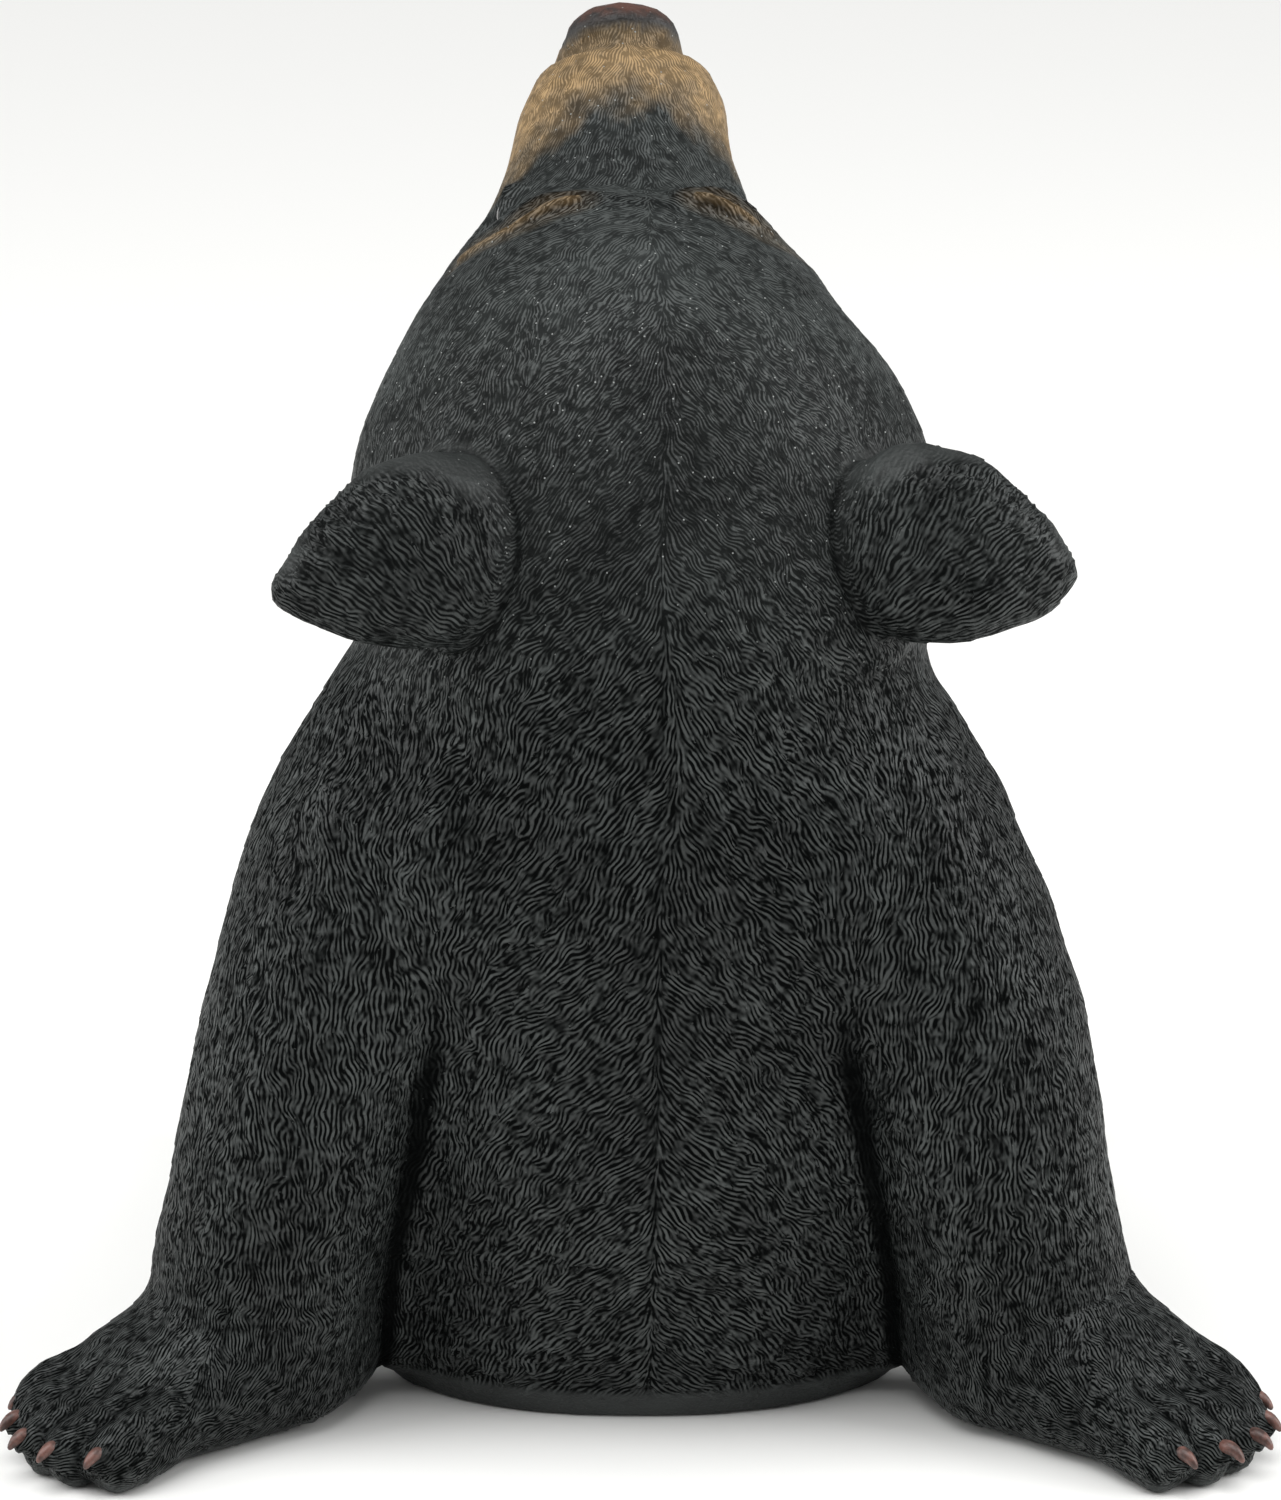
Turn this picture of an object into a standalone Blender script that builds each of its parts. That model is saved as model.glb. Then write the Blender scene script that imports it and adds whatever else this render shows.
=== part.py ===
"""Bear cub statue: one resin casting of a cub that sits, leans back on its front paws and looks up.

Metres, +Z up. The cub faces -Y, its left side is +X, and the origin is the middle of the rump's
flat underside.
"""

import math

import bpy
import bmesh
from mathutils import Matrix, Vector

# The figure is sculpted 328 units high, so at the cast height of 328 mm one unit is a millimetre.
HEIGHT = 0.328
SCULPTED_HEIGHT = 328.0
UNIT = HEIGHT / SCULPTED_HEIGHT

# The head: where the nose tip is, how far the face looks up, and how far it is turned to the cub's left.
NOSE_TIP = (0.0, -64.5, 320.8)
LOOK_UP = 52.0
HEAD_TURN = 5.5
HEAD_PIVOT = (-2.0, 8.0, 228.0)

# How the sculpting mesh is worked: grain of the clay, softening passes, and faces of the finished solid.
MASS_GRAIN, MASS_SOFTENING = 3.6, 14
END_GRAIN, END_SOFTENING = 2.8, 5
DETAIL_GRAIN, DETAIL_SOFTENING = 2.0, 3
BODY_TRIANGLES = 6500

RING_SIDES = 28
CAP_RINGS = (0.35, 0.66, 0.88, 0.98)

# Torso, from the rump up to the nape: x, y, z of the centre, half width, half depth.
TORSO = (
    (0, 0, -16, 62, 48),
    (0, 0, 2, 65, 50.5),
    (0, 0, 20, 72, 61),
    (0, -1, 50, 76, 72),
    (0, 3, 82, 76, 74),
    (0, 9, 114, 74, 70),
    (0, 15, 144, 71, 66),
    (0, 19, 170, 67, 61),
    (0, 24, 194, 62, 55),
)
# Throat, from the chest up into the head.
NECK = (
    (0, 6, 165, 60, 50),
    (0, 4, 198, 60, 47),
    (0, -1, 226, 57, 44),
    (0, -8, 248, 51, 37),
)
# The upper body sways to the cub's left by this much, from this height up to this one.
SWAY = 2.2
SWAY_FROM, SWAY_TO = 85.0, 190.0

# Head, from under the nose back to the nape, in the head's own frame: x to the cub's right, distance
# along the face, height over its axis, half width, half height.
HEAD = (
    (0, -5, -4, 16.2, 14),
    (0, -12, -5, 19.6, 17),
    (0, -20, -5, 22.6, 19.5),
    (-1, -30, -4, 25.6, 21.3),
    (-1.8, -42, -3.5, 29.2, 24),
    (-2.4, -53, -2, 32.4, 26.5),
    (-3.4, -64, -1.5, 38.0, 31),
    (-4, -75, 0.5, 45.0, 37.5),
    (-4.2, -88, 2, 54.2, 45.5),
    (-3.8, -104, 2, 63.8, 51.5),
    (-3, -120, 1, 69.4, 54),
    (-1.5, -140, -2, 70.5, 53),
    (-1, -160, -5, 66.5, 49),
    (-1, -176, -9, 59.0, 44),
)

# A brow, from over the nose out to the temple, in the head's frame, and an eye, seen from a point in it.
BROW = (
    (11, -64, 29.5, 4.5, 4.5),
    (20, -65.5, 29.5, 5.5, 5.5),
    (28, -69, 24, 5.5, 5.5),
    (33.5, -73, 16, 4, 4),
)
EYE_FROM = (0, -64, 4)
EYE = (31, -57, 13.5)
EYE_RADIUS = 5.2
EYE_SUNK = 2.4
FACE_SHIFT = -2.2

# The line of the mouth on the cub's right, from under the nose to the corner, seen from a point in the
# muzzle, and the right nostril.
MOUTH_FROM = (0, -26, -9)
MOUTH = (
    (0, 0, -9.5),
    (6, 0, -10),
    (12, -5, -11),
    (18, -14, -12),
    (22.5, -26, -13),
    (26.5, -38, -13),
    (29.5, -47, -11),
)
MOUTH_GROOVE = 1.5
NOSTRIL = (6.2, 3.6, 2.2)
NOSTRIL_SIZE = (2.8, 4.2, 2.4)

# An ear stands out sideways: its middle in the head's frame, half length, half height and depth of the
# cup, and how much it narrows to its tip.
EAR = (66, -155, 34)
EAR_SIZE = (30, 25.5, 17)
EAR_POINT = 0.68
EAR_DROOP = 22.0

# Left front leg, from the shoulder down to the wrist, then the paw, from the wrist out to the knuckles.
FRONT_LEG = (
    (44, 28, 166, 32, 34),
    (56, 34, 143, 34, 36),
    (67, 40, 116, 33, 35),
    (77, 45, 90, 30.5, 33),
    (84.5, 47, 62, 28.5, 31),
    (90.5, 45, 36, 28.0, 29),
    (94, 43, 8, 27.5, 27),
)
ARMPIT = (
    (30, 36, 180, 28, 28),
    (44, 43, 142, 28, 33),
    (52, 43, 114, 25, 30),
    (58, 42, 90, 19, 24),
)
FRONT_PAW_HEADING = 41.0
FRONT_PAW_ORIGIN = (93, 43)
# Along the heading from that origin: distance, height, half width, half height.
FRONT_PAW = (
    (0, 17, 26.5, 20),
    (15, 15, 26.0, 18.5),
    (30, 12.5, 24.5, 16),
    (43, 10, 22.0, 12.5),
)
FRONT_TOE_ROOT = 38.0
FRONT_TOE_REACHES = (25.5, 31.5, 32, 27, 17.5)
FRONT_TOE_FAN = 6.0
FRONT_TOE_SPREAD = 18.0

# Left hind leg, from the hip out to the heel.
HIND_LEG = (
    (38, -10, 46, 38, 42),
    (52, -46, 44, 36, 41),
    (60, -80, 40, 32, 37),
    (65, -108, 34, 29, 33),
    (68, -134, 30, 27, 30),
)
# Left hind foot, in its own frame: x across the sole, y out of the sole, z from the heel to the toes.
HIND_HEEL = (68, -140, 0)
HIND_FOOT_SPLAY = 6.0
HIND_FOOT_LEAN = 8.0
HIND_FOOT = (
    (0, 3, 6, 20, 16),
    (0, 3, 22, 24, 19),
    (0, 2, 40, 26, 17),
    (0, 0, 56, 28.5, 14.5),
    (0, -1, 68, 27.5, 12.5),
)
HIND_TOE_ROOT = 62.0
HIND_TOE_REACHES = (18, 21, 22, 21, 18)
HIND_TOE_FAN = 6.0
HIND_TOE_SPREAD = 22.5
# A hind toe starts this far inside the foot, and bends and ends this far short of its top.
HIND_TOE_SUNK = 6.0
HIND_TOE_BEND = 9.0
HIND_TOE_END = 3.0
# Pads of a sole: x, y, z and half sizes.
SOLE_PADS = ((0, 13, 54, 21, 7, 9), (0, 15, 22, 14, 8, 15))

# A claw, from inside the toe to its point: how far ahead of the toe's last station, how far down, and
# radius.
CLAW = ((0, 0, 2.4), (4.0, 0.4, 2.5), (6.0, 2.2, 1.9), (6.8, 4.6, 0.9))
CLAW_SIDES = 6


def ring_at(centre, across, up, half_width, half_depth, squareness, sides):
    """The points of one cross-section: an ellipse, or a rounder or squarer outline."""
    points = []
    for step in range(sides):
        turn = 2 * math.pi * step / sides
        c, s = math.cos(turn), math.sin(turn)
        x = math.copysign(abs(c) ** (2 / squareness), c) * half_width
        y = math.copysign(abs(s) ** (2 / squareness), s) * half_depth
        points.append(centre + across * x + up * y)
    return points


def between(a, b, c, d, t):
    """A smooth value between b and c, with a and d as the stations before and after (Catmull-Rom)."""
    return 0.5 * (2 * b + (c - a) * t + (2 * a - 5 * b + 4 * c - d) * t * t + (3 * b - a - 3 * c + d) * t**3)


def faired(stations, steps):
    """The stations with smooth ones put in between."""
    rows = [Vector(row[:3]).to_tuple() + tuple(map(float, row[3:])) for row in stations]
    padded = [rows[0], *rows, rows[-1]]
    made = []
    for i in range(1, len(rows)):
        for step in range(steps):
            t = step / steps
            made.append([between(*values, t) for values in zip(*padded[i - 1 : i + 3])])
    made.append(list(rows[-1]))
    return made


def add_limb(
    clay, place, stations, across=(1, 0, 0), squareness=2.0, caps=(0.7, 0.7), sides=RING_SIDES, steps=3
):
    """Adds a closed tube along the stations, with rounded ends. A cap of 1 is as long as it is thick."""
    rows = faired(stations, steps)
    centres = [Vector(row[:3]) for row in rows]
    rings = []
    for i, row in enumerate(rows):
        along = (centres[min(i + 1, len(rows) - 1)] - centres[max(i - 1, 0)]).normalized()
        side = Vector(across)
        side = (side - along * side.dot(along)).normalized()
        rings.append((centres[i], side, along.cross(side), row[3], row[4], along))
    capped = []
    for end, sign, cap in ((rings[0], -1, caps[0]), (rings[-1], 1, caps[1])):
        centre, side, up, width, depth, along = end
        reach = min(width, depth) * cap
        extra = [
            (centre + along * sign * reach * share, side, up, width * fall, depth * fall, along)
            for share, fall in ((r, math.sqrt(1 - r * r)) for r in CAP_RINGS)
        ]
        capped.append(extra)
    rings = capped[0][::-1] + rings + capped[1]
    loops = []
    for centre, side, up, width, depth, _ in rings:
        points = ring_at(centre, side, up, width, depth, squareness, sides)
        loops.append([clay.verts.new(place @ point) for point in points])
    for low, high in zip(loops, loops[1:]):
        for i in range(sides):
            clay.faces.new((low[i - 1], low[i], high[i], high[i - 1]))
    clay.faces.new(loops[0][::-1])
    clay.faces.new(loops[-1])


def add_ball(clay, place, centre, radii, turns=(0, 0, 0), segments=24):
    """Adds an ellipsoid of these half sizes, turned about its own x, y and z."""
    turned = Matrix.Translation(centre)
    for angle, axis in zip(turns, "XYZ"):
        turned = turned @ Matrix.Rotation(math.radians(angle), 4, axis)
    shape = place @ turned @ Matrix.Diagonal((*radii, 1))
    bmesh.ops.create_uvsphere(clay, u_segments=segments, v_segments=segments // 2, radius=1, matrix=shape)


def add_bowl(clay, place, rim, outer, inner, point, sides=32):
    """Adds a cup, one unit round: a dome of the outer depth, hollowed by the inner, narrowing to x = 1."""
    profile = []
    steps = 9
    for i in range(1, steps + 1):
        turn = math.pi / 2 * i / steps
        profile.append((math.sin(turn), outer * math.cos(turn)))
    for i in range(steps + 1, 1, -1):
        turn = math.pi / 2 * (i - 1) / steps
        profile.append(((1 - rim) * math.sin(turn), -outer * 0.12 + inner * math.cos(turn)))
    loops = []
    for radius, height in profile:
        ring = []
        for i in range(sides):
            x, y = radius * math.cos(2 * math.pi * i / sides), radius * math.sin(2 * math.pi * i / sides)
            narrow = 1 - point * (max(x + 0.35, 0) / 1.35) ** 1.6
            ring.append(clay.verts.new(place @ Vector((x, y * narrow, height))))
        loops.append(ring)
    top = clay.verts.new(place @ Vector((0, 0, outer)))
    floor = clay.verts.new(place @ Vector((0, 0, -outer * 0.12 + inner)))
    for i in range(sides):
        clay.faces.new((top, loops[0][i - 1], loops[0][i]))
        for low, high in zip(loops, loops[1:]):
            clay.faces.new((low[i - 1], high[i - 1], high[i], low[i]))
        clay.faces.new((loops[-1][i], loops[-1][i - 1], floor))


def head_place():
    """The head's frame in the figure's: y out of the nose, z out of the crown, origin at the nose tip."""
    up = math.radians(LOOK_UP)
    face = Vector((0, -math.cos(up), math.sin(up)))
    crown = Vector((0, math.sin(up), math.cos(up)))
    side = face.cross(crown)
    axes = Matrix((side, face, crown)).transposed().to_4x4()
    turn = Matrix.Rotation(math.radians(HEAD_TURN), 4, "Z")
    pivot = Matrix.Translation(Vector(HEAD_PIVOT))
    back = Matrix.Translation(-Vector((0, *HEAD_PIVOT[1:])))
    return pivot @ turn @ back @ Matrix.Translation(Vector(NOSE_TIP)) @ axes


def mirrored(side):
    """The figure's frame for side 1, the cub's left, or for side -1, its right."""
    return Matrix.Diagonal((side, 1, 1, 1))


def paw_place(side):
    """A front paw's frame: x to the side, y ahead along the toes, z up, origin under the wrist."""
    heading = Matrix.Rotation(math.radians(FRONT_PAW_HEADING - 90), 4, "Z")
    return mirrored(side) @ Matrix.Translation((*FRONT_PAW_ORIGIN, 0)) @ heading


def foot_place(side):
    """The frame of a hind foot: x across the sole, y out of it, z up to the toes, origin under the heel."""
    lean = Matrix.Rotation(math.radians(HIND_FOOT_LEAN), 4, "X")
    splay = Matrix.Rotation(math.radians(HIND_FOOT_SPLAY), 4, "Y")
    outward = Matrix.Rotation(math.radians(HIND_FOOT_SPLAY), 4, "Z")
    faces_front = Matrix.Diagonal((1, -1, 1, 1))
    return mirrored(side) @ Matrix.Translation(HIND_HEEL) @ outward @ splay @ lean @ faces_front


def toes(reaches, fan, spread):
    """Each toe's place across the paw, how far it leans outwards over its length, and its reach."""
    for i, reach in enumerate(reaches):
        across = 2 * i / (len(reaches) - 1) - 1
        yield across * spread, math.tan(math.radians(fan * across)) * reach, reach


def add_masses(clay):
    """The large forms, which are softened into each other."""
    world = Matrix.Identity(4)
    add_limb(clay, world, TORSO, squareness=2.3, caps=(0.1, 0.5), sides=40)
    for side in (1, -1):
        half = mirrored(side)
        add_limb(clay, half, FRONT_LEG, caps=(0.75, 0.3))
        add_limb(clay, half, ARMPIT, caps=(0.6, 0.9))
        add_ball(clay, half, (65, 30, 23), (10, 17, 18))
        add_limb(clay, half, HIND_LEG, caps=(0.5, 0.6))
    add_ball(clay, world, (0, -31, 78), (60, 45, 64))
    for vertex in clay.verts:
        share = (vertex.co.z - SWAY_FROM) / (SWAY_TO - SWAY_FROM)
        vertex.co.x += SWAY * min(max(share, 0), 1)
    add_limb(clay, world, NECK, caps=(0.6, 0.6))
    add_limb(clay, head_place(), HEAD[-5:], squareness=2.05, caps=(0.5, 0.4), sides=36)


def add_ends(clay):
    """The head, the paws and the feet, which are softened less."""
    add_limb(clay, head_place(), HEAD, squareness=2.05, caps=(0.5, 0.4), sides=36)
    for side in (1, -1):
        paw = [(0, *row) for row in FRONT_PAW]
        add_limb(clay, paw_place(side), paw, squareness=2.3, caps=(0.5, 0.6))
        add_limb(clay, foot_place(side), HIND_FOOT, squareness=2.3, caps=(0.6, 0.6))


def add_face(clay, head):
    """Nose pad, lips, chin and brows, in the head's frame."""
    add_ball(clay, head, (0, -4.5, 3), (14.6, 8.5, 10))
    add_ball(clay, head, (0, -22, -20.5), (14.5, 15, 7.5))
    for side in (1, -1):
        add_ball(clay, head, (side * 10.5, -16.5, -9.5), (11.5, 13.5, 8.5), turns=(0, side * 12, side * 14))
        brow = [(FACE_SHIFT + side * x, *row) for x, *row in BROW]
        add_limb(clay, head, brow, across=(0, 1, 0), sides=16)


def add_ears(clay, head):
    """Two cupped ears that stand out sideways, their backs to the rear."""
    for side in (1, -1):
        out = Matrix.Translation((side * EAR[0] + 1.5, *EAR[1:]))
        droop = Matrix.Rotation(math.radians(-side * EAR_DROOP), 4, "Z")
        tip_back = Matrix.Rotation(math.radians(24), 4, "X")
        open_outward = Matrix.Rotation(math.radians(side * 10), 4, "Y")
        size = Matrix.Diagonal((side * EAR_SIZE[0], *EAR_SIZE[1:], 1))
        place = head @ out @ droop @ tip_back @ open_outward @ size
        add_bowl(clay, place, rim=0.16, outer=0.85, inner=0.42, point=EAR_POINT)


def front_toes(side):
    """The stations of each toe of a front paw, fanned outwards on the ground, in the paw's frame."""
    for x, lean, reach in toes(FRONT_TOE_REACHES, FRONT_TOE_FAN, FRONT_TOE_SPREAD):
        yield (
            (x, FRONT_TOE_ROOT, 11, 6.0, 9.5),
            (x + lean * 0.5, FRONT_TOE_ROOT + reach * 0.5, 9.5, 6.3, 10),
            (x + lean * 0.9, FRONT_TOE_ROOT + reach * 0.9, 7, 6.0, 8.5),
        )


def hind_toes(side):
    """The stations of each toe of a hind foot, along the top of the sole, in the foot's frame."""
    for x, lean, reach in toes(HIND_TOE_REACHES, HIND_TOE_FAN, HIND_TOE_SPREAD):
        top = HIND_TOE_ROOT + reach
        yield (
            (x, 0, HIND_TOE_ROOT - HIND_TOE_SUNK, 6.6, 10),
            (x + lean * 0.6, 1, top - HIND_TOE_BEND, 6.6, 9.5),
            (x + lean, 3, top - HIND_TOE_END, 6, 7.5),
        )


def add_toes(clay, side):
    """Toes of one front paw and of one hind foot, and the pads of its sole."""
    for toe in front_toes(side):
        add_limb(clay, paw_place(side), toe, sides=16)
    foot = foot_place(side)
    for toe in hind_toes(side):
        add_limb(clay, foot, toe, sides=16)
        add_ball(clay, foot, Vector(toe[2][:3]) + Vector((0, 5, -3)), (5, 5, 6), segments=16)
    for x, y, z, *radii in SOLE_PADS:
        add_ball(clay, foot, (x, y, z), radii)


def on_skin(skin, start, towards):
    """Where the line from a point inside the figure leaves its skin."""
    start, towards = Vector(start) * UNIT, Vector(towards) * UNIT
    hit, point, _, _ = skin.ray_cast(start, towards - start)
    return point / UNIT if hit else towards / UNIT


def add_claws_and_eyes(clay, skin):
    """A short claw on each toe, bent towards the ground or the sole, and the two eyes."""
    head = head_place()
    for side in (1, -1):
        for toe in front_toes(side):
            x, y, z = toe[2][:3]
            claw = [(x, y + ahead, z + 4 - down, r, r * 1.2) for ahead, down, r in CLAW]
            add_limb(clay, paw_place(side), claw, caps=(0.1, 0.9), sides=CLAW_SIDES, steps=1)
        for toe in hind_toes(side):
            x, y, z = toe[2][:3]
            claw = [(x, y - 2 + down, z + ahead, r, r * 1.2) for ahead, down, r in CLAW]
            add_limb(clay, foot_place(side), claw, caps=(0.1, 0.9), sides=CLAW_SIDES, steps=1)
        start = Vector((FACE_SHIFT + EYE_FROM[0], *EYE_FROM[1:]))
        eye = Vector((FACE_SHIFT + side * EYE[0], *EYE[1:]))
        seen = on_skin(skin, head @ start, head @ eye)
        inward = (head @ start - seen).normalized() * EYE_SUNK
        add_ball(clay, Matrix.Identity(4), seen + inward, (EYE_RADIUS,) * 3, segments=14)


def add_mouth(clay, skin):
    """What is cut from the face: the line of the mouth from corner to corner, and the nostrils."""
    head = head_place()
    right = [(FACE_SHIFT * i / 6 + x, y, z) for i, (x, y, z) in enumerate(MOUTH)]
    left = [(FACE_SHIFT * i / 6 - x, y, z) for i, (x, y, z) in enumerate(MOUTH)]
    line = []
    for x, y, z in left[:0:-1] + right:
        point = on_skin(skin, head @ Vector((MOUTH_FROM[0], MOUTH_FROM[1], z)), head @ Vector((x, y, z)))
        line.append((*point, MOUTH_GROOVE, MOUTH_GROOVE))
    crown = head.to_3x3() @ Vector((0, 0, 1))
    add_limb(clay, Matrix.Identity(4), line, across=crown, sides=8, steps=2)
    for side in (1, -1):
        x, y, z = NOSTRIL
        add_ball(clay, head, (side * x, y, z), NOSTRIL_SIZE, turns=(0, 0, side * 20), segments=12)


def object_of(name, clay):
    """A scene object that holds this bmesh."""
    bmesh.ops.recalc_face_normals(clay, faces=clay.faces)
    mesh = bpy.data.meshes.new(name)
    clay.to_mesh(mesh)
    clay.free()
    made = bpy.data.objects.new(name, mesh)
    bpy.context.scene.collection.objects.link(made)
    return made


def apply_modifiers(thing):
    """Makes the object's mesh what its modifiers show, and clears them."""
    bpy.context.view_layer.update()
    graph = bpy.context.evaluated_depsgraph_get()
    mesh = bpy.data.meshes.new_from_object(thing.evaluated_get(graph))
    thing.modifiers.clear()
    thing.data = mesh


def fuse(thing, grain, softening):
    """Makes overlapping shells one skin of this grain, and softens where they meet."""
    remesh = thing.modifiers.new("one_skin", "REMESH")
    remesh.mode = "VOXEL"
    remesh.voxel_size = grain * UNIT
    smooth = thing.modifiers.new("softened", "SMOOTH")
    smooth.factor = 0.5
    smooth.iterations = softening
    apply_modifiers(thing)


def painted_resin():
    """Cast resin painted charcoal black, with a soft sheen."""
    paint = bpy.data.materials.new("charcoal_fur_paint")
    paint.use_nodes = True
    surface = paint.node_tree.nodes["Principled BSDF"]
    surface.inputs["Base Color"].default_value = (0.012, 0.014, 0.014, 1)
    surface.inputs["Roughness"].default_value = 0.5
    surface.inputs["Metallic"].default_value = 0.0
    return paint


def clear_scene():
    for thing in list(bpy.data.objects):
        bpy.data.objects.remove(thing)


def add_details(clay):
    """Face, ears and toes, which keep the most of their form."""
    head = head_place()
    add_face(clay, head)
    add_ears(clay, head)
    for side in (1, -1):
        add_toes(clay, side)


def sculpt(thing, adder, grain, softening):
    """Adds this clay to the object and makes it one skin again."""
    clay = clay_of(adder)
    bmesh.ops.recalc_face_normals(clay, faces=clay.faces)
    clay.from_mesh(thing.data)
    clay.to_mesh(thing.data)
    clay.free()
    fuse(thing, grain, softening)


def change_by(thing, operation, name, clay):
    """Adds or takes away a helper's volume, left live as a Boolean modifier."""
    helper = object_of(name, clay)
    helper.hide_render = True
    helper.display_type = "WIRE"
    change = thing.modifiers.new(name, "BOOLEAN")
    change.operation = operation
    change.solver = "EXACT"
    change.object = helper


def clay_of(adder, *others):
    """What this adder models, in metres."""
    clay = bmesh.new()
    adder(clay, *others)
    for vertex in clay.verts:
        vertex.co *= UNIT
    return clay


def add_ground(clay):
    """The ground, as deep as the figure is high."""
    bmesh.ops.create_cube(clay, size=SCULPTED_HEIGHT * 3)
    bmesh.ops.translate(clay, verts=clay.verts, vec=(0, 0, -SCULPTED_HEIGHT * 1.5))


def main():
    clear_scene()
    bear = object_of("bear_cub", bmesh.new())
    sculpt(bear, add_masses, MASS_GRAIN, MASS_SOFTENING)
    sculpt(bear, add_ends, END_GRAIN, END_SOFTENING)
    sculpt(bear, add_details, DETAIL_GRAIN, DETAIL_SOFTENING)
    thin = bear.modifiers.new("fewer_faces", "DECIMATE")
    thin.ratio = BODY_TRIANGLES / (2 * len(bear.data.polygons))
    change_by(bear, "DIFFERENCE", "mouth_and_nostrils", clay_of(add_mouth, bear))
    change_by(bear, "UNION", "claws_and_eyes", clay_of(add_claws_and_eyes, bear))
    change_by(bear, "DIFFERENCE", "under_ground", clay_of(add_ground))
    bear.data.materials.append(painted_resin())


main()
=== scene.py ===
"""Looks of the bear cub statue: the painted casting with its carved fur, and the studio that it stands in."""

import math

import bpy
import numpy as np
from mathutils import Matrix, Vector


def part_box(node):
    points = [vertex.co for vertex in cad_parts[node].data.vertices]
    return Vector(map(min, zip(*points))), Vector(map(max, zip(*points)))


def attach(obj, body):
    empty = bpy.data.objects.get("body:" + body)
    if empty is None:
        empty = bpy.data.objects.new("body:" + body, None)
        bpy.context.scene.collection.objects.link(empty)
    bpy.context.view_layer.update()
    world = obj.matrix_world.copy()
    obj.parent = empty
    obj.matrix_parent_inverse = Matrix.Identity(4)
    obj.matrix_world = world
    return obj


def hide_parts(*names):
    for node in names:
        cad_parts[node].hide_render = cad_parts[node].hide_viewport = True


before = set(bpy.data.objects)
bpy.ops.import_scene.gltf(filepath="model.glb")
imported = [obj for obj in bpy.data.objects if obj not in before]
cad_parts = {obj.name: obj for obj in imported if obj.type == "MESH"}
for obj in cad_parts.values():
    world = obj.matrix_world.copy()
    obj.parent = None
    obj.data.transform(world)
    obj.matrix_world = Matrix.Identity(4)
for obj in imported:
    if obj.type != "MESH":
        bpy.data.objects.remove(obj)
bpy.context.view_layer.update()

bl_info = {
    "name": "Bear cub statue",
    "version": (1, 0, 0),
    "blender": (4, 5, 0),
    "location": "3D View > Sidebar > Cub",
    "description": "A cast and painted bear cub that sits and looks up",
    "category": "Object",
}

CASTING = "bear_cub"
# The figure is sculpted 328.1 units high, so that a unit is a millimetre on the casting.
SCULPTED_HEIGHT = 328.1
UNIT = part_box(CASTING)[1].z / SCULPTED_HEIGHT
SEED = 11

# The head, in units: nose tip, how far the face looks up and to the cub's left, and what it turns about.
NOSE_TIP = (0.0, -64.5, 320.8)
LOOK_UP = 52.0
HEAD_TURN = 5.5
HEAD_PIVOT = (-2.0, 8.0, 228.0)

# The middle line of a form: x, y, z of the centre, and half width and half depth there.
TORSO = (
    (0, 0, -16, 62, 48),
    (0, 0, 20, 72, 61),
    (0, -1, 50, 76, 72),
    (0, 3, 82, 76, 74),
    (0, 9, 114, 74, 70),
    (0, 15, 144, 71, 66),
    (0, 19, 170, 67, 61),
    (0, 24, 194, 62, 55),
)
NECK = (
    (0, 6, 165, 60, 50),
    (0, 4, 198, 60, 47),
    (0, -1, 226, 57, 44),
    (0, -8, 248, 51, 37),
)
HEAD = (
    (0, -5, -4, 16.2, 14),
    (0, -20, -5, 22.6, 19.5),
    (-1.8, -42, -3.5, 29.2, 24),
    (-3.4, -64, -1.5, 38.0, 31),
    (-4.2, -88, 2, 54.2, 45.5),
    (-3, -120, 1, 69.4, 54),
    (-1.5, -140, -2, 70.5, 53),
    (-1, -176, -9, 59.0, 44),
)
FRONT_LEG = (
    (44, 28, 166, 32, 34),
    (56, 34, 143, 34, 36),
    (67, 40, 116, 33, 35),
    (77, 45, 90, 30.5, 33),
    (84.5, 47, 62, 28.5, 31),
    (90.5, 45, 36, 28.0, 29),
    (94, 43, 8, 27.5, 27),
)
FRONT_PAW_HEADING = 41.0
FRONT_PAW_ORIGIN = (93, 43)
FRONT_PAW = (
    (0, 0, 17, 26.5, 20),
    (0, 30, 12.5, 24.5, 16),
    (0, 43, 10, 22.0, 12.5),
    (0, 72, 8, 26.0, 10),
)
HIND_LEG = (
    (38, -10, 46, 38, 42),
    (52, -46, 44, 36, 41),
    (60, -80, 40, 32, 37),
    (65, -108, 34, 29, 33),
    (68, -134, 30, 27, 30),
)
HIND_HEEL = (68, -140, 0)
HIND_FOOT_SPLAY = 6.0
HIND_FOOT_LEAN = 8.0
HIND_FOOT = (
    (0, 3, 6, 20, 16),
    (0, 3, 22, 24, 19),
    (0, 2, 40, 26, 17),
    (0, 0, 56, 28.5, 14.5),
    (0, 1, 84, 29, 11),
)
# An ear: its middle in the head's frame; half length, half height and depth; where its fur spreads from, in
# its own frame; and how it is turned.
EAR = (66, -155, 34)
EAR_SIZE = (30, 25.5, 14.5)
EAR_FUR_ROOT = (-14, -34, 0)
EAR_DROOP = 22.0
EAR_TIPS_BACK = 24.0
EAR_OPENS = 10.0
# How far each ear is lowered, its upper and its lower rim besides, and its tip drawn out.
EAR_ADJUST = {"left": (0.0, 3.6, 1.0, 1.2), "right": (-0.6, 5.3, 3.9, 0.8)}
# How far each front paw is humped and shortened, and each arm swells outward above its elbow.
PAW_ADJUST = {"left": (0.5, 1.5), "right": (3.6, 2.4)}
ARM_ADJUST = {"left": 0.0, "right": 2.2}
# In the head's frame: the nose pad's middle and half sizes, how far the face is to its left, and a brow.
NOSE_PAD = ((0, -4.5, 3), (14.6, 8.5, 10))
FACE_SHIFT = -2.2
BROW = (
    (14.5, -64, 34.8),
    (18.5, -65.5, 35),
    (25, -68, 33),
    (30, -70, 30.5),
    (38, -71, 23),
    (42, -72.5, 19.5),
)
# The right temple, which stands out a little more than the left one.
RIGHT_TEMPLE = (34, -77, 14)
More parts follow.
